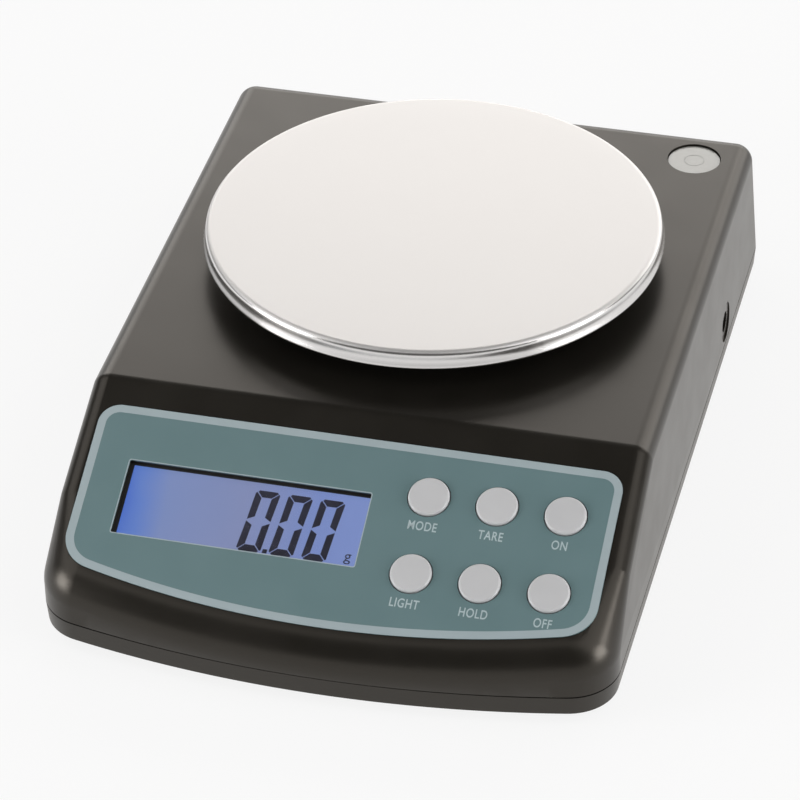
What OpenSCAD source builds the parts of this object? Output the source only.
// Digital gram scale: bench scale with a round pan, a sloping control panel and levelling feet.
// Millimetres. +X right, +Y back, +Z up. The origin is on the table, under the middle of the body.

/* [Body] */
// Width of the body across the back
body_w = 160.6; // [158:0.2:176]
// Width of the body across the front corners
front_w = 158.2; // [156:0.2:170]
// Length of the body, front to back
body_l = 227.8; // [224:0.2:240]
// Height of the flat top above the table
top_z = 50.1; // [49.5:0.1:56]
// Height of the underside above the table
base_z = 3.4; // [2.8:0.1:3.8]
// Height of the parting line above the table
part_z = 10; // [9:0.1:10.5]
// Back edge of the body to the crease between top and panel
top_l = 162.4; // [161:0.2:164]
// Slope of the control panel in degrees
panel_tilt = 25; // [23:0.5:25.5]
// Wall of both shells
wall = 2.5; // [2:0.1:2.8]
// Radius along the top edges
edge_r = 5.4; // [4.5:0.1:7]
// Radius of the nose below the panel
nose_r = 12; // [10:0.5:13]
// Plan radius of the front corners
front_corner_r = 14.3; // [14:0.1:20]
// Plan radius of the back corners
back_corner_r = 4.5; // [4.5:0.5:12]
// Plan radius of the bowed front
bow_r = 325; // [280:5:420]
// Draft of the side walls in degrees
side_draft = 2; // [1:0.5:5]
// Draft of the back wall in degrees
back_draft = 10; // [4:0.5:12]
// How far the underside steps in from the parting line
base_inset = 0.6; // [0.4:0.1:2]
// Gap between the shells at the parting line
seam_gap = 0.4; // [0.2:0.1:0.6]

/* [Panel] */
// Width of the overlay
overlay_w = 145.4; // [142:0.2:146]
// Crease to the overlay's straight top edge, down the slope
overlay_top = 8.3; // [7:0.1:9]
// Crease to the lowest point of the overlay, down the slope
overlay_bottom = 65.4; // [65:0.1:66]
// Radius of the overlay's bowed bottom edge
overlay_bow_r = 285; // [260:5:320]
// Radius of the overlay's upper corners
overlay_top_r = 6; // [4:0.5:8]
// Radius of the overlay's lower corners
overlay_low_r = 10; // [8:0.5:15]
// Thickness of the overlay
overlay_t = 0.5; // [0.3:0.1:0.6]
// Depth of the recess that holds the overlay
overlay_recess = 0.6; // [0.6:0.1:0.9]
// Width of the display opening
lcd_w = 67.4; // [64:0.2:69]
// Height of the display opening along the slope
lcd_h = 22.1; // [20:0.1:23]
// Middle of the display opening, left of the centre line
lcd_left = 27.2; // [26:0.2:29]
// Middle of the display opening below the crease
lcd_down = 35.5; // [35:0.1:36.5]
// Depth of the window below the panel face
window_depth = 2; // [1.6:0.1:2.2]
// Diameter of a key
key_d = 11.2; // [9:0.1:12]
// Height of a key above the panel face
key_proud = 1; // [0.8:0.1:2]
// Travel of a key
key_travel = 0.8; // [0.5:0.1:0.8]
// Distance between keys along a row
key_pitch_x = 18.6; // [17.6:0.1:18.8]
// Distance between the two rows of keys
key_pitch_y = 23; // [22:0.2:24]
// Left column of keys, right of the centre line
key_left = 21.9; // [21.6:0.1:22.6]
// Upper row of keys below the crease
key_down = 23.2; // [22.6:0.1:23.6]

/* [Pan] */
// Outer diameter of the weighing pan
pan_d = 131; // [124:0.5:133]
// Height of the pan's face above the table
pan_z = 62.1; // [61.5:0.1:66]
// Depth of the pan's rim
pan_rim = 5; // [4:0.1:5.2]
// Thickness of the pan's sheet
pan_t = 0.8; // [0.5:0.1:1.2]
// Midway between back edge and crease, back to the middle of the pan
pan_back = -4.6; // [-6:0.1:-2]
// Radius of the spider under the pan
spider_r = 52; // [40:1:56]
// Diameter of the column that carries the spider
column_d = 24; // [18:1:26]

/* [Weighing] */
// Length of the load cell
cell_l = 80; // [76:1:84]
// Width and height of the load cell's bar
cell_s = 12.7; // [11:0.1:13]
// Height of the load cell's underside
cell_z = 12; // [11:0.1:13]
// Travel to the overload stop
load_travel = 0.5; // [0.3:0.1:0.6]
// Width of the carrier plate
plate_w = 40; // [34:1:44]
// Thickness of the carrier plate
plate_t = 3; // [2:0.5:4]

/* [Feet] */
// Diameter of a foot's wheel
wheel_d = 20; // [16:1:21]
// Diameter of a foot's stud
stud_d = 5; // [4:0.5:6]
// How far a foot screws out of the body
foot_out = 3; // [2:0.5:4]
// How far a foot screws into the body
foot_in = 1.5; // [1:0.5:2]

/* [Level and socket] */
// Diameter of the level's cup
level_d = 15.4; // [13:0.1:16.5]
// Level right of the centre line
level_x = 63.2; // [61:0.2:65]
// Back edge of the body to the middle of the level
level_back = 20.7; // [20:0.1:24]
// Depth of the level's face below the top
level_sink = 1.2; // [0.8:0.1:2]
// Outer diameter of the power socket's barrel
jack_d = 9; // [8:0.1:9.6]
// Height of the power socket's axis
jack_z = 17.2; // [16.8:0.1:21]
// Back edge of the body to the power socket's axis
jack_back = 54.7; // [53:0.1:60]

/* [Battery] */
// Diameter of a cell
battery_d = 14.5; // [13.6:0.1:14.5]
// Length of a cell
battery_l = 50.5; // [44:0.5:50.5]
// Crease to the back wall of the battery bay, towards the back
battery_back = 25.6; // [25:0.2:27]

/* [Hidden] */
$fn = 48;

// Clearances
slip = 0.3;    // loose gap round a piece that moves or is laid in
fit = 0.05;    // radial clearance of a pin that turns or slides in its bore
touch = 0.1;   // gap between a pad and what it carries
eps = 0.01;    // overlap that lets a cut pass through a face
thru = 200;    // longer than the body is wide or high
past = 5;      // how far a cut runs out past a face

// Reference places
rear_y = body_l / 2;
front_y = -body_l / 2;
crease_y = rear_y - top_l;
pan_y = (rear_y + crease_y) / 2 + pan_back;
level_y = rear_y - level_back;
jack_y = rear_y - jack_back;
floor_t = wall;
floor_z = base_z + floor_t;

// Plan outline of the body
bow_y = front_y + bow_r;
front_cx = front_w / 2 - front_corner_r;
front_cy = bow_y - sqrt(pow(bow_r - front_corner_r, 2) - pow(front_cx, 2));
back_cx = body_w / 2 - back_corner_r;
back_cy = rear_y - back_corner_r;
bow_turn = asin(front_cx / (bow_r - front_corner_r));
plan_turn = atan((body_w - front_w) / 2 / (back_cy - front_cy));

function arc(c, r, a0, a1, n) =
    [for (i = [0:n]) let (a = a0 + (a1 - a0) * i / n) [c.x + r * cos(a), c.y + r * sin(a)]];
function mirrored(half) =
    concat(half, [for (i = [len(half) - 1:-1:0]) if (abs(half[i].x) > eps) [-half[i].x, half[i].y]]);
function front_half(e) =
    concat(arc([0, bow_y], bow_r - e, 270, 270 + bow_turn, 5),
           arc([front_cx, front_cy], front_corner_r - e, 270 + bow_turn, 360 - plan_turn, 7));
function back_half(e) = arc([back_cx, back_cy], max(back_corner_r - e, 0.2), -plan_turn, 90, 6);
function outline(e) = mirrored(concat(front_half(e), back_half(e)));
// Half width of the body at the parting line
function half_w(y) = front_w / 2 + (y - front_cy) * tan(plan_turn);
// Half width at a height above the parting line
function half_w_at(y, z) = half_w(y) - (z - part_z) * tan(side_draft);
// Height of the panel face at a place along the body
function panel_z(y) = top_z - (crease_y - y) * tan(panel_tilt);

// Frame on the panel face: x right, y up the slope, z outward, origin at the crease
module on_panel() translate([0, crease_y, top_z]) rotate([panel_tilt, 0, 0]) children();

// Overlay outline, drawn on the panel face
overlay_cx = overlay_w / 2 - overlay_low_r;
overlay_bow_y = overlay_bow_r - overlay_bottom;
overlay_low_y = overlay_bow_y - sqrt(pow(overlay_bow_r - overlay_low_r, 2) - pow(overlay_cx, 2));
overlay_turn = asin(overlay_cx / (overlay_bow_r - overlay_low_r));
function overlay_pts(e) = mirrored(concat(
    arc([0, overlay_bow_y], overlay_bow_r - e, 270, 270 + overlay_turn, 8),
    arc([overlay_cx, overlay_low_y], overlay_low_r - e, 270 + overlay_turn, 360, 8),
    arc([overlay_w / 2 - overlay_top_r, -overlay_top - overlay_top_r], overlay_top_r - e, 0, 90, 6)));

// Keys and display
key_flange_t = 1.4;
key_flange_lip = 1.2;
stem_d = 4;
stem_end = 6;          // depth of a stem's end below the panel face
plunger_d = 3.4;
switch_s = 6;
switch_gap = 0.1;      // left under a stem at the end of its travel
plunger_l = 2.4;
board_depth = 9.6;     // depth of the display board's face below the panel face
board_t = 1.6;
window_t = 1;
window_lip = 1.5;      // overlap of the window behind the opening
glass_t = 2.8;
glass_lip = 4.3;       // overlap of the glass behind the opening
frame_wall = 1.8;
cap_r = 0.8;           // rounding of a key's cap
switch_floor = 0.2;
display_side_in = 4.5;  // overlay's side edge to the board's
display_top_in = 1;
display_bottom_in = 4.7;
display_board_w = overlay_w - 2 * display_side_in;
display_board_top = overlay_top + display_top_in;
display_board_low = overlay_bottom - display_bottom_in;
display_hole_in = 4;   // board's edge to a screw
display_low_in = 18;   // board's side edge to a lower screw
display_boss_d = 7;
display_screw_d = 2.4;
display_screw_l = 6.4;
small_head_d = 4.4;
small_head_t = 1.4;
display_screw_at = [for (s = [-1, 1]) each [
    [s * (display_board_w / 2 - display_hole_in), display_board_top + display_hole_in],
    [s * (display_board_w / 2 - display_low_in), display_board_low - display_hole_in]]];
glass_top = window_depth + window_t + touch;
switch_top = stem_end + key_travel + switch_gap;

module key_places() for (r = [0, 1], c = [0:2]) key_place(c, r) children();
module key_place(c, r) on_panel()
    translate([key_left + c * key_pitch_x, -key_down - r * key_pitch_y, 0]) children();
module at_lcd() on_panel() translate([-lcd_left, -lcd_down, 0]) children();
module plate(w, h, t) translate([-w / 2, -h / 2, 0]) cube([w, h, t]);
module tube(d, bore, h) difference() {
    cylinder(d = d, h = h);
    translate([0, 0, -eps]) cylinder(d = bore, h = h + 2 * eps);
}

// Feet
pad_d = 15;
pad_t = 1.6;
pin_d = 6;
pin_l = 2.4;
wheel_t = 4.2;
wheel_grips = 20;
wheel_z = pad_t + fit;
pocket_play = 1.5;
pocket_d = wheel_d + 2 * pocket_play;
wheel_grip_d = 1.8;
wheel_grip_out = 0.4;
pocket_top = wheel_z + wheel_t + foot_in + slip;
pocket_wall = 2;
insert_d = 7;
insert_l = 8;
insert_boss_d = 11;
thread_left = 3.85;      // thread in the insert when a foot is right out
stud_end = pocket_top + foot_out + thread_left;
foot_front_in = [17.4, 26.8];   // body's edges to a front foot
foot_back_in = [17.2, 19.8];    // body's edges to a back foot
foot_at = [[-front_w / 2 + foot_front_in.x, front_y + foot_front_in.y],
           [front_w / 2 - foot_front_in.x, front_y + foot_front_in.y],
           [-body_w / 2 + foot_back_in.x, rear_y - foot_back_in.y],
           [body_w / 2 - foot_back_in.x, rear_y - foot_back_in.y]];

// Case screws
case_front_in = [11.4, 10.8];   // side edge and crease to a front case screw
case_back_in = [13.2, 38.8];    // body's edges to a back case screw
case_at = [for (s = [-1, 1]) each [
    [s * (front_w / 2 - case_front_in.x), crease_y + case_front_in.y],
    [s * (body_w / 2 - case_back_in.x), rear_y - case_back_in.y]]];
case_boss_d = 8;
case_screw_d = 3;
case_head_d = 5.6;
case_head_t = 2;
case_screw_l = 15;
case_seat = 2.6;          // underside to the seat of a screw's head
case_seat_z = base_z + case_seat;
boss_end = 2;             // how far a blind hole runs on past its screw

// Weighing parts
hole_play = 4;           // room round the column where it passes the top
cell_top = cell_z + cell_s;
cell_end_y = pan_y + cell_l / 2;
cell_free_y = pan_y - cell_l / 2;
end_l = 22;              // length of the riser and of the spacer
spacer_t = 3;
plate_z = cell_top + spacer_t;
spider_t = 2.4;
pad_h = 2.5;
pan_under = pan_z - pan_t;
spider_z = pan_under - touch - pad_h - spider_t;
cell_screw_d = 4;
cell_screw_pitch = 13;
m4_head_d = 7;
m4_head_t = 2;
head_sink = 0.2;         // head of the support's screw below the spider's face
arm_w = 12;
hub_lip = 6;             // hub of the spider round its column
pad_seat_d = 16;
pan_pad_d = 10;
pad_at = spider_r - pad_seat_d / 2;
plate_rear_y = pan_y + plate_w / 2;
eye_d = 9;               // eyes and slot that make the load cell bend
eye_at = 8;
eye_slot = 3;
riser_lip = 3;
screw_end = 1;           // how far a hole runs on past a screw's end
low_head_t = 1.2;        // head of the screws that enter from below
low_head_sink = 0.1;     // their heads below the underside
cell_thread_l = 8;       // thread of a screw inside the load cell
stop_d = 4;
stop_boss_d = 9;
stop_play = 0.1;
stop_head_t = 2.4;
stop_top = cell_z - load_travel - stop_play;
stop_seat_z = stop_top - stop_head_t;

// Level and socket
level_h = 8;
level_tube_wall = 1.8;
level_cup_wall = 0.7;
level_cup_floor = 2;
lens_t = 1.4;
level_ledge = 2;         // ledge that carries the cup, and the floor below it
jack_recess_d = 12;
jack_recess = 0.8;
jack_body = [11, 9.4, 11];
jack_bore_d = 5.7;
jack_bore_l = 9;
jack_pin_d = 2;
jack_pin_back = 1;       // pin's end behind the socket's face
jack_barrel_l = 3;
jack_foot = 5.6;         // socket's axis above the board
jack_face_x = half_w_at(jack_y, jack_z) - wall - 2 * slip;
main_board_top = jack_z - jack_foot;
main_board_w = 37;
main_board_l = 28;
main_board_side = 6.6;   // socket's face to the board's edge
main_board_past = 9.5;   // socket's axis to the board's back edge
main_board_right = jack_face_x - main_board_side;
main_board_left = main_board_right - main_board_w;
main_board_back = jack_y + main_board_past;
main_board_front = main_board_back - main_board_l;
main_hole_in = 4;
main_board_holes = [[main_board_left + main_hole_in, main_board_front + main_hole_in],
                    [main_board_right - main_hole_in, main_board_front + main_hole_in],
                    [main_board_left + main_hole_in, main_board_back - main_hole_in]];
board_screw_l = 5;
chip_at = [15, 14];      // middles of the chips, from the board's front left corner
chip_s = 10;
chip_t = 1.5;
converter_at = [12, 24];
converter_s = [8, 4];
regulator_at = [24, 6];
regulator_s = [7, 5];
capacitor_at = [22, 23];
capacitor_d = 5;
capacitor_h = 6;
ribbon_w = 12;
ribbon_t = 0.8;
ribbon_rise = 3;         // bend of the cable above the board
ribbon_in = 8;           // board's left edge to the cable
ribbon_lap = 4;          // cable's end over a board
ribbon_drop = 14;        // board's front edge to the cable's lower bend
ribbon_under = 6;        // how far the cable runs in under the display board
standoff_d = 6;
board_screw_d = 2.4;

// Battery bay
row_gap = 0.7;           // between two rows of cells
cell_gap = 0.25;         // over and under a cell
contact_room = 5;        // beyond the cells at each end
contact_t = 0.5;
contact_s = 10;
tip_d = 5;
tip_l = 1.2;
grip_w = 18;
grip_l = 1.2;
grip_pitch = 3;
grip_depth = 0.5;
bay_row = battery_d + row_gap;
bay_w = 2 * (battery_l + contact_room);
bay_l = 3 * bay_row;
bay_rear_y = crease_y + battery_back;
bay_y = bay_rear_y - bay_l / 2;
tray_wall = 1.5;
cell_axis_z = floor_z + cell_gap + battery_d / 2;
bay_top = cell_axis_z + battery_d / 2 + cell_gap;
door_t = 2.2;
bay_ledge = 2;

// Rating label
label_w = 60;
label_l = 26;
label_t = 0.2;
label_front = 16.5;      // middle of the pan to the label's, towards the front
label_y = pan_y - label_front;

// Outer form of the upper shell, shrunk by e all round
module form(e) hull() {
    low = e > 0 ? 1 : 0;
    translate([0, 0, part_z - low]) linear_extrude(0.2) polygon(outline(e));
    for (s = [-1, 1]) {
        back_z = top_z - edge_r;
        back_y = rear_y - (back_z - part_z) * tan(back_draft) - edge_r;
        translate([s * (half_w_at(back_y, back_z) - edge_r), back_y, back_z])
            sphere(edge_r - e, $fn = 32);
        fold_y = crease_y + edge_r * tan(panel_tilt / 2);
        translate([s * (half_w_at(fold_y, back_z) - edge_r), fold_y, back_z])
            sphere(edge_r - e, $fn = 32);
        low_y = front_cy + front_corner_r;
        low_z = panel_z(low_y) - edge_r / cos(panel_tilt);
        translate([s * (half_w_at(low_y, low_z) - edge_r), low_y, low_z])
            sphere(edge_r - e, $fn = 32);
    }
    for (p = mirrored(front_half(nose_r)))
        translate([p.x, p.y, panel_z(p.y) - nose_r / cos(panel_tilt)]) sphere(nose_r - e, $fn = 32);
}

module above(z) translate([-thru, -thru, z]) cube([2 * thru, 2 * thru, thru]);

module upper_shell() color("#3b3936") difference() {
    intersection() {
        union() {
            difference() {
                form(0);
                form(wall);
            }
            intersection() {
                form(wall / 2);
                upper_bosses();
            }
        }
        above(part_z + seam_gap / 2);
    }
    upper_holes();
}

module upper_bosses() {
    for (p = case_at) translate([p.x, p.y, part_z + slip]) cylinder(d = case_boss_d, h = top_z - part_z);
    on_panel() for (p = display_screw_at)
        translate([p.x, -p.y, -board_depth]) cylinder(d = display_boss_d, h = board_depth);
    level_bottom = top_z - level_sink - level_h;
    translate([level_x, level_y, level_bottom - level_ledge])
        cylinder(d = level_d + 2 * slip + 2 * level_tube_wall, h = level_h + level_sink + level_ledge);
}

module upper_holes() {
    on_panel() translate([0, 0, -overlay_recess])
        linear_extrude(overlay_recess + past) polygon(overlay_pts(-slip / 2));
    at_lcd() translate([0, 0, -wall - past]) plate(lcd_w, lcd_h, wall + 2 * past);
    at_lcd() translate([0, 0, -window_depth - past])
        plate(lcd_w + 2 * window_lip + slip, lcd_h + 2 * window_lip + slip, past);
    key_places() translate([0, 0, -wall - 1]) cylinder(d = key_d + 2 * slip, h = wall + past);
    translate([0, pan_y, top_z - wall - 1]) cylinder(d = column_d + 2 * hole_play, h = wall + past);
    translate([level_x, level_y, top_z - level_sink - level_h])
        cylinder(d = level_d + slip, h = level_h + past);
    translate([level_x, level_y, top_z - level_sink - level_h - past])
        cylinder(d = level_d - 2 * level_ledge, h = 2 * past);
    translate([jack_face_x, jack_y, jack_z]) rotate([0, 90, 0])
        cylinder(d = jack_bore_d + 2 * slip, h = 2 * past);
    translate([half_w_at(jack_y, jack_z) - jack_recess, jack_y, jack_z]) rotate([0, 90, 0])
        cylinder(d = jack_recess_d, h = past);
    for (p = case_at) translate([p.x, p.y, part_z - 1])
        cylinder(d = case_screw_d, h = case_seat_z + case_screw_l - part_z + boss_end);
    on_panel() for (p = display_screw_at)
        translate([p.x, -p.y, -board_depth - 1]) cylinder(d = display_screw_d, h = display_screw_l + 1);
}

module dish(e, low, high) hull() {
    soft = 0.8;
    translate([0, 0, high - 0.2]) linear_extrude(0.2) polygon(outline(e));
    translate([0, 0, low + soft]) linear_extrude(0.2) polygon(outline(e + base_inset * 0.7));
    translate([0, 0, low]) linear_extrude(0.2) polygon(outline(e + base_inset + soft));
}

module lower_shell() color("#35332f") difference() {
    union() {
        difference() {
            dish(0, base_z, part_z - seam_gap / 2);
            dish(wall, floor_z, part_z + 1);
        }
        lower_lip();
        lower_bosses();
    }
    lower_holes();
}

// Lip that locates the upper shell. It stands on the floor, and keeps clear of the back wall's lean.
module lower_lip() {
    lip_t = 1.2;
    lip_h = 1.6;
    lean = (lip_h + 1) * tan(back_draft);
    translate([0, 0, floor_z - 1]) linear_extrude(part_z + lip_h - floor_z + 1) difference() {
        lip_outline(wall + slip, lean);
        lip_outline(wall + slip + lip_t, lean);
    }
}

module lip_outline(e, lean) intersection() {
    polygon(outline(e));
    translate([0, -lean]) polygon(outline(e));
}

module lower_bosses() {
    for (p = foot_at) translate([p.x, p.y, 0]) {
        translate([0, 0, base_z])
            cylinder(d = pocket_d + 2 * pocket_wall, h = pocket_top + pocket_wall - base_z);
        translate([0, 0, base_z])
            cylinder(d = insert_boss_d, h = pocket_top + insert_l - base_z);
    }
    for (p = case_at) translate([p.x, p.y, base_z + eps])
        cylinder(d = case_boss_d, h = part_z - base_z - eps);
    for (p = main_board_holes) translate([p.x, p.y, base_z + eps])
        cylinder(d = standoff_d, h = main_board_top - board_t - base_z - eps);
    translate([0, cell_free_y + end_l / 2, base_z + eps])
        cylinder(d = stop_boss_d, h = stop_seat_z - base_z - eps);
}

module lower_holes() {
    for (p = foot_at) translate([p.x, p.y, 0]) {
        translate([0, 0, -eps]) cylinder(d = pocket_d, h = pocket_top);
        cylinder(d = insert_d, h = stud_end + thru);
    }
    for (p = case_at) translate([p.x, p.y, 0]) {
        cylinder(d = case_head_d + slip, h = case_seat_z);
        cylinder(d = case_screw_d + slip, h = part_z + 1);
    }
    for (p = main_board_holes) translate([p.x, p.y, floor_z])
        cylinder(d = board_screw_d, h = main_board_top);
    cell_screws_fixed() {
        cylinder(d = m4_head_d + slip, h = base_z + low_head_sink + low_head_t);
        cylinder(d = cell_screw_d + slip, h = floor_z + 1);
    }
    translate([0, cell_free_y + end_l / 2, floor_z]) cylinder(d = stop_d, h = cell_z);
    translate([0, bay_y, base_z - 1]) plate(bay_w, bay_l, thru / 2);
    translate([0, bay_y, base_z - 1]) plate(bay_w + 2 * bay_ledge, bay_l + 2 * bay_ledge, door_t / 2 + 1);
    translate([0, label_y, base_z - 1]) plate(label_w, label_l, label_t + 1);
}

module control_overlay() color("#5f7b7d") difference() {
    on_panel() translate([0, 0, -overlay_recess]) linear_extrude(overlay_t) polygon(overlay_pts(0));
    at_lcd() translate([0, 0, -2]) plate(lcd_w, lcd_h, 4);
    key_places() translate([0, 0, -2]) cylinder(d = key_d + 2 * slip, h = 4);
}

module lcd_window() color("#dfe6ee") at_lcd() translate([0, 0, -window_depth - window_t])
    plate(lcd_w + 2 * window_lip, lcd_h + 2 * window_lip, window_t);

module lcd_glass() color("#7f8fc8") at_lcd() translate([0, 0, -glass_top - glass_t])
    plate(lcd_w + 2 * glass_lip, lcd_h + 2 * glass_lip, glass_t);

module lcd_backlight() color("#e8ecff") at_lcd() translate([0, 0, -board_depth])
    plate(lcd_w + 2 * glass_lip, lcd_h + 2 * glass_lip, board_depth - glass_top - glass_t);

module lcd_frame() color("#2a2a2c") at_lcd() translate([0, 0, -board_depth]) difference() {
    frame_w = lcd_w + 2 * glass_lip + slip + 2 * frame_wall;
    frame_h = lcd_h + 2 * glass_lip + slip + 2 * frame_wall;
    plate(frame_w, frame_h, board_depth - wall - touch);
    translate([0, 0, -1])
        plate(lcd_w + 2 * glass_lip + slip, lcd_h + 2 * glass_lip + slip, board_depth - glass_top + 1);
    plate(lcd_w + 2 * window_lip + 2 * slip, lcd_h + 2 * window_lip + 2 * slip, board_depth);
}

module display_board() color("#2f6b3c") difference() {
    on_panel() translate([0, 0, -board_depth - board_t])
        translate([-display_board_w / 2, -display_board_low, 0])
            cube([display_board_w, display_board_low - display_board_top, board_t]);
    on_panel() for (p = display_screw_at)
        translate([p.x, -p.y, -board_depth - board_t - 1])
            cylinder(d = display_screw_d + slip, h = board_t + 2);
}

module display_screws() color("silver") on_panel() for (p = display_screw_at)
    translate([p.x, -p.y, -board_depth - board_t - small_head_t]) {
        cylinder(d = small_head_d, h = small_head_t);
        cylinder(d = display_screw_d - 2 * fit, h = display_screw_l);
    }

module tact_switches() color("#222222") key_places() translate([0, 0, -board_depth]) difference() {
    plate(switch_s, switch_s, board_depth - switch_top);
    translate([0, 0, switch_floor]) cylinder(d = plunger_d + 2 * fit, h = board_depth);
}

// One key: domed cap, flange that stops it under the shell, and the stem on its switch
module key(c, r) color("#c4c4c6") key_place(c, r) {
    flange_top = -wall - slip;
    translate([0, 0, flange_top - key_flange_t]) rotate_extrude() polygon(concat(
        [[0, 0], [key_d / 2 + key_flange_lip, 0], [key_d / 2 + key_flange_lip, key_flange_t],
         [key_d / 2, key_flange_t]],
        arc([key_d / 2 - cap_r, key_proud - cap_r - flange_top + key_flange_t], cap_r, 0, 90, 6),
        [[0, key_proud - flange_top + key_flange_t]]));
    translate([0, 0, -stem_end]) cylinder(d = stem_d, h = stem_end - wall - slip);
}

module plunger(c, r) color("#8a8a8a") key_place(c, r)
    translate([0, 0, -stem_end - plunger_l]) cylinder(d = plunger_d, h = plunger_l);

module mode_key() key(0, 0);
module tare_key() key(1, 0);
module on_key() key(2, 0);
module light_key() key(0, 1);
module hold_key() key(1, 1);
module off_key() key(2, 1);
module mode_plunger() plunger(0, 0);
module tare_plunger() plunger(1, 0);
module on_plunger() plunger(2, 0);
module light_plunger() plunger(0, 1);
module hold_plunger() plunger(1, 1);
module off_plunger() plunger(2, 1);

// Pressed pan: flat face, round shoulder, turned-down rim
module weighing_pan() color("#e6e4e1") translate([0, pan_y, pan_z]) {
    shoulder = 2.6;
    rim_x = pan_d / 2;
    lean = 0.4;
    rotate_extrude($fn = 96) polygon(concat(
        [[0, 0]],
        arc([rim_x - lean - shoulder, -shoulder], shoulder, 90, 0, 8),
        [[rim_x, -pan_rim], [rim_x - pan_t, -pan_rim]],
        arc([rim_x - lean - shoulder, -shoulder], shoulder - pan_t, 0, 90, 8),
        [[0, -pan_t]]));
}

module pan_support() color("#4a4a4a") translate([0, pan_y, 0]) difference() {
    union() {
        translate([0, 0, plate_z + plate_t]) cylinder(d = column_d, h = spider_z - plate_z - plate_t + eps);
        translate([0, 0, spider_z]) cylinder(d = column_d + 2 * hub_lip, h = spider_t);
        for (a = [45:90:315]) rotate([0, 0, a]) {
            translate([0, -arm_w / 2, spider_z]) cube([pad_at, arm_w, spider_t]);
            translate([pad_at, 0, spider_z]) cylinder(d = pad_seat_d, h = spider_t);
        }
    }
    translate([0, 0, spider_z + spider_t - m4_head_t - head_sink]) cylinder(d = m4_head_d + slip, h = thru);
    translate([0, 0, plate_z + plate_t - 1]) cylinder(d = cell_screw_d + slip, h = thru);
}

module pan_pads() color("#1d1d1d") translate([0, pan_y, spider_z + spider_t])
    for (a = [45:90:315]) rotate([0, 0, a]) translate([pad_at, 0, 0]) cylinder(d = pan_pad_d, h = pad_h);

module support_screw() color("silver") translate([0, pan_y, 0]) {
    head_z = spider_z + spider_t - m4_head_t - head_sink;
    translate([0, 0, head_z]) cylinder(d = m4_head_d, h = m4_head_t);
    translate([0, 0, plate_z]) cylinder(d = cell_screw_d, h = head_z - plate_z + eps);
}

module carrier_plate() color("#b9bcbf") difference() {
    translate([-plate_w / 2, cell_free_y, plate_z]) cube([plate_w, plate_rear_y - cell_free_y, plate_t]);
    translate([0, pan_y, plate_z - 1]) cylinder(d = cell_screw_d, h = plate_t + 2);
    cell_screws_free() translate([0, 0, plate_z - 1]) cylinder(d = cell_screw_d, h = plate_t + 2);
}

module cell_screws_free() for (i = [0, 1])
    translate([0, cell_free_y + end_l / 2 + (i - 0.5) * cell_screw_pitch, 0]) children();
module cell_screws_fixed() for (i = [0, 1])
    translate([0, cell_end_y - end_l / 2 + (i - 0.5) * cell_screw_pitch, 0]) children();

module cell_spacer() color("#a9acb0") difference() {
    translate([-cell_s / 2, cell_free_y, cell_top]) cube([cell_s, end_l, spacer_t]);
    cell_screws_free() translate([0, 0, cell_top - 1]) cylinder(d = cell_screw_d, h = spacer_t + 2);
}

// Binocular bending beam
module load_cell() color("#cfd2d6") difference() {
    translate([-cell_s / 2, cell_free_y, cell_z]) cube([cell_s, cell_l, cell_s]);
    for (s = [-1, 1]) translate([-cell_s, pan_y + s * eye_at, cell_z + cell_s / 2]) rotate([0, 90, 0])
        cylinder(d = eye_d, h = 2 * cell_s);
    translate([-cell_s, pan_y - eye_at, cell_z + cell_s / 2 - eye_slot / 2])
        cube([2 * cell_s, 2 * eye_at, eye_slot]);
    cell_screws_free() translate([0, 0, cell_top - cell_thread_l - screw_end])
        cylinder(d = cell_screw_d + 2 * fit, h = cell_thread_l + screw_end + 1);
    cell_screws_fixed() translate([0, 0, cell_z - 1])
        cylinder(d = cell_screw_d, h = cell_thread_l + screw_end + 1);
}

module cell_riser() color("#9b9ea3") difference() {
    translate([-cell_s / 2 - riser_lip, cell_end_y - end_l, floor_z])
        cube([cell_s + 2 * riser_lip, end_l, cell_z - floor_z]);
    cell_screws_fixed() translate([0, 0, floor_z - 1]) cylinder(d = cell_screw_d + slip, h = cell_z);
}

module fixed_end_screws() color("silver") cell_screws_fixed() translate([0, 0, base_z + low_head_sink]) {
    cylinder(d = m4_head_d, h = low_head_t);
    cylinder(d = cell_screw_d, h = cell_z + cell_thread_l - base_z - low_head_sink);
}

module free_end_screws() color("silver") cell_screws_free() {
    translate([0, 0, plate_z + plate_t]) cylinder(d = m4_head_d, h = m4_head_t);
    thread_z = cell_top - cell_thread_l;
    translate([0, 0, thread_z]) cylinder(d = cell_screw_d, h = plate_z + plate_t - thread_z + eps);
}

module overload_stop() color("silver") translate([0, cell_free_y + end_l / 2, 0]) {
    translate([0, 0, floor_z]) cylinder(d = stop_d, h = stop_top - floor_z);
    translate([0, 0, stop_seat_z]) cylinder(d = m4_head_d, h = stop_head_t);
}

module main_board() color("#2f6b3c") difference() {
    translate([main_board_left, main_board_front, main_board_top - board_t])
        cube([main_board_w, main_board_l, board_t]);
    for (p = main_board_holes) translate([p.x, p.y, main_board_top - board_t - 1])
        cylinder(d = board_screw_d + slip, h = board_t + 2);
}

module board_screws() color("silver") for (p = main_board_holes) translate([p.x, p.y, 0]) {
    translate([0, 0, main_board_top]) cylinder(d = small_head_d, h = small_head_t);
    translate([0, 0, main_board_top - board_screw_l])
        cylinder(d = board_screw_d - 2 * fit, h = board_screw_l + eps);
}

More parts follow.
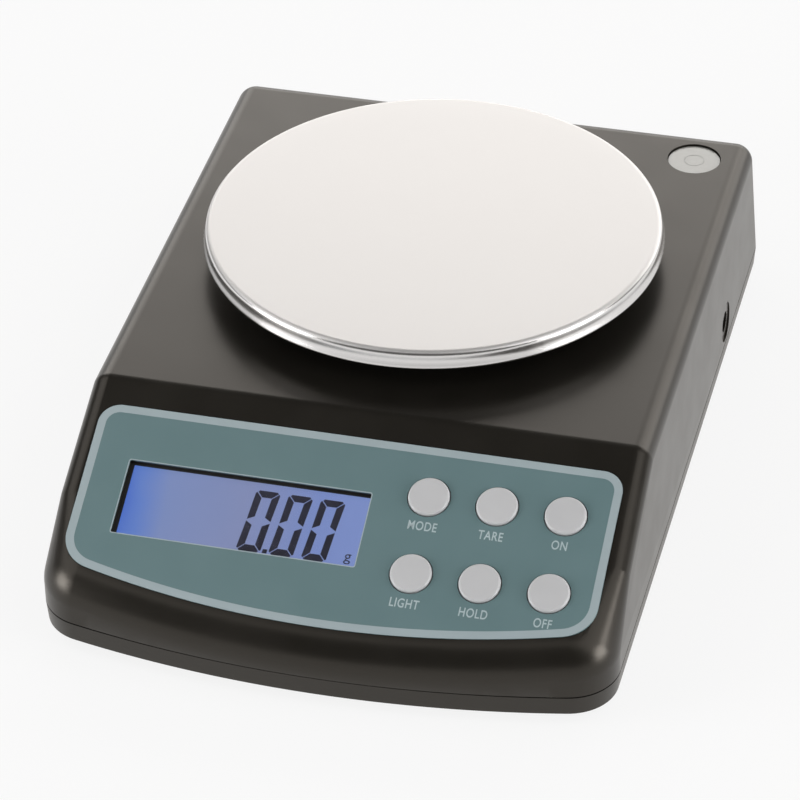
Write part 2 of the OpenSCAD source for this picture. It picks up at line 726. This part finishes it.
// Processor, converter, regulator and one capacitor
module board_chips() color("#1b1b1b") translate([main_board_left, main_board_front, main_board_top]) {
    translate(chip_at) plate(chip_s, chip_s, chip_t);
    translate(converter_at) plate(converter_s.x, converter_s.y, chip_t);
    translate(regulator_at) plate(regulator_s.x, regulator_s.y, chip_t);
    translate(capacitor_at) cylinder(d = capacitor_d, h = capacitor_h);
}

module dc_jack() color("#1a1a1a") translate([jack_face_x, jack_y, jack_z]) rotate([0, 90, 0]) {
    difference() {
        union() {
            translate([0, 0, -jack_barrel_l]) cylinder(d = jack_d, h = jack_barrel_l);
            translate([-jack_body.z / 2, -jack_body.y / 2, -jack_barrel_l - jack_body.x])
                cube([jack_foot + jack_body.z / 2, jack_body.y, jack_body.x]);
        }
        translate([0, 0, -jack_bore_l]) cylinder(d = jack_bore_d, h = jack_bore_l + 1);
    }
    translate([0, 0, -jack_bore_l - eps]) cylinder(d = jack_pin_d, h = jack_bore_l - jack_pin_back + eps);
}

// Flat cable, drawn edge-on and extruded across its width
module ribbon_cable() color("#b8b6b0") {
    board_y = crease_y - display_board_top * cos(panel_tilt) + (board_depth + board_t) * sin(panel_tilt);
    board_z = top_z - display_board_top * sin(panel_tilt) - (board_depth + board_t) * cos(panel_tilt);
    low_z = main_board_top + ribbon_t;
    path = [[board_y - ribbon_under, board_z - ribbon_under * tan(panel_tilt) - slip],
            [board_y + ribbon_lap, board_z - ribbon_rise],
            [main_board_front - ribbon_drop, low_z + ribbon_rise],
            [main_board_front + ribbon_lap, low_z]];
    translate([main_board_left + ribbon_in, 0, 0]) rotate([90, 0, 90]) linear_extrude(ribbon_w)
        polygon(concat(path, [for (i = [len(path) - 1:-1:0]) path[i] - [0, ribbon_t]]));
}

module battery_tray() color("#2b2b2b") difference() {
    translate([0, bay_y, floor_z])
        plate(bay_w + 2 * tray_wall, bay_l + 2 * tray_wall, bay_top + tray_wall - floor_z);
    translate([0, bay_y, floor_z - 1]) plate(bay_w, bay_l, bay_top - floor_z + 1);
}

module battery_cells() color("#7d7f82") for (row = [-1:1], s = [-1, 1])
    translate([s < 0 ? -battery_l : 0, bay_y + row * bay_row, cell_axis_z]) rotate([0, 90, 0]) {
        cylinder(d = battery_d, h = battery_l - tip_l);
        translate([0, 0, battery_l - tip_l - eps]) cylinder(d = tip_d, h = tip_l);
    }

module battery_contacts() color("#c9b37a") for (row = [-1:1], s = [-1, 1])
    translate([s * (bay_w / 2 - contact_t / 2), bay_y + row * bay_row, cell_axis_z]) {
        translate([-contact_t / 2, -contact_s / 2, -contact_s / 2]) cube([contact_t, contact_s, contact_s]);
        rotate([0, -s * 90, 0]) translate([0, 0, contact_t / 2])
            cylinder(d1 = contact_s - 2, d2 = tip_d, h = contact_room - contact_t - slip);
    }

module battery_door() color("#35332f") difference() {
    union() {
        translate([0, bay_y, base_z])
            plate(bay_w + 2 * bay_ledge - 2 * slip, bay_l + 2 * bay_ledge - 2 * slip, door_t / 2 - slip);
        translate([0, bay_y, base_z]) plate(bay_w - 2 * slip, bay_l - 2 * slip, door_t);
    }
    for (i = [-2:2]) translate([0, bay_y + i * grip_pitch, base_z - 1])
        plate(grip_w, grip_l, grip_depth + 1);
}

module level_cup() color("#e9e9e4") translate([level_x, level_y, top_z - level_sink - level_h]) difference() {
    cylinder(d = level_d, h = level_h);
    translate([0, 0, level_cup_floor]) cylinder(d = level_d - 2 * level_cup_wall, h = level_h);
}

module level_lens() color("#d5d7d0") translate([level_x, level_y, top_z - level_sink - lens_t])
    cylinder(d = level_d - 2 * level_cup_wall - 2 * fit, h = lens_t);

module foot_pad(i) color("#1c1c1c") translate([foot_at[i].x, foot_at[i].y, 0]) {
    cylinder(d = pad_d, h = pad_t);
    translate([0, 0, pad_t - eps]) cylinder(d = pin_d, h = pin_l);
}

module foot_wheel(i) color("#262626") translate([foot_at[i].x, foot_at[i].y, wheel_z]) difference() {
    union() {
        cylinder(d = wheel_d, h = wheel_t);
        cylinder(d = stud_d, h = stud_end - wheel_z);
    }
    for (k = [0:wheel_grips - 1]) rotate([0, 0, k * 360 / wheel_grips])
        translate([wheel_d / 2 + wheel_grip_out, 0, -1])
            cylinder(d = wheel_grip_d, h = wheel_t + 2, $fn = 24);
    translate([0, 0, -1]) cylinder(d = pin_d + 2 * fit, h = pin_l + 1 + slip);
}

module foot_pad_1() foot_pad(0);
module foot_pad_2() foot_pad(1);
module foot_pad_3() foot_pad(2);
module foot_pad_4() foot_pad(3);
module foot_wheel_1() foot_wheel(0);
module foot_wheel_2() foot_wheel(1);
module foot_wheel_3() foot_wheel(2);
module foot_wheel_4() foot_wheel(3);

module foot_inserts() color("#c2a14d") for (p = foot_at)
    translate([p.x, p.y, pocket_top]) tube(insert_d, stud_d + 2 * fit, insert_l);

module case_screws() color("silver") for (p = case_at) translate([p.x, p.y, 0]) {
    translate([0, 0, case_seat_z - case_head_t]) cylinder(d = case_head_d, h = case_head_t);
    translate([0, 0, case_seat_z - eps]) cylinder(d = case_screw_d, h = case_screw_l);
}

module rating_label() color("#bfc1c2") translate([0, label_y, base_z])
    plate(label_w - slip, label_l - slip, label_t);

upper_shell();
lower_shell();
control_overlay();
lcd_window();
lcd_glass();
lcd_backlight();
lcd_frame();
display_board();
display_screws();
tact_switches();
mode_key();
tare_key();
on_key();
light_key();
hold_key();
off_key();
mode_plunger();
tare_plunger();
on_plunger();
light_plunger();
hold_plunger();
off_plunger();
weighing_pan();
pan_support();
pan_pads();
support_screw();
carrier_plate();
cell_spacer();
load_cell();
cell_riser();
fixed_end_screws();
free_end_screws();
overload_stop();
main_board();
board_screws();
board_chips();
dc_jack();
ribbon_cable();
battery_tray();
battery_cells();
battery_contacts();
battery_door();
level_cup();
level_lens();
foot_pad_1();
foot_pad_2();
foot_pad_3();
foot_pad_4();
foot_wheel_1();
foot_wheel_2();
foot_wheel_3();
foot_wheel_4();
foot_inserts();
case_screws();
rating_label();
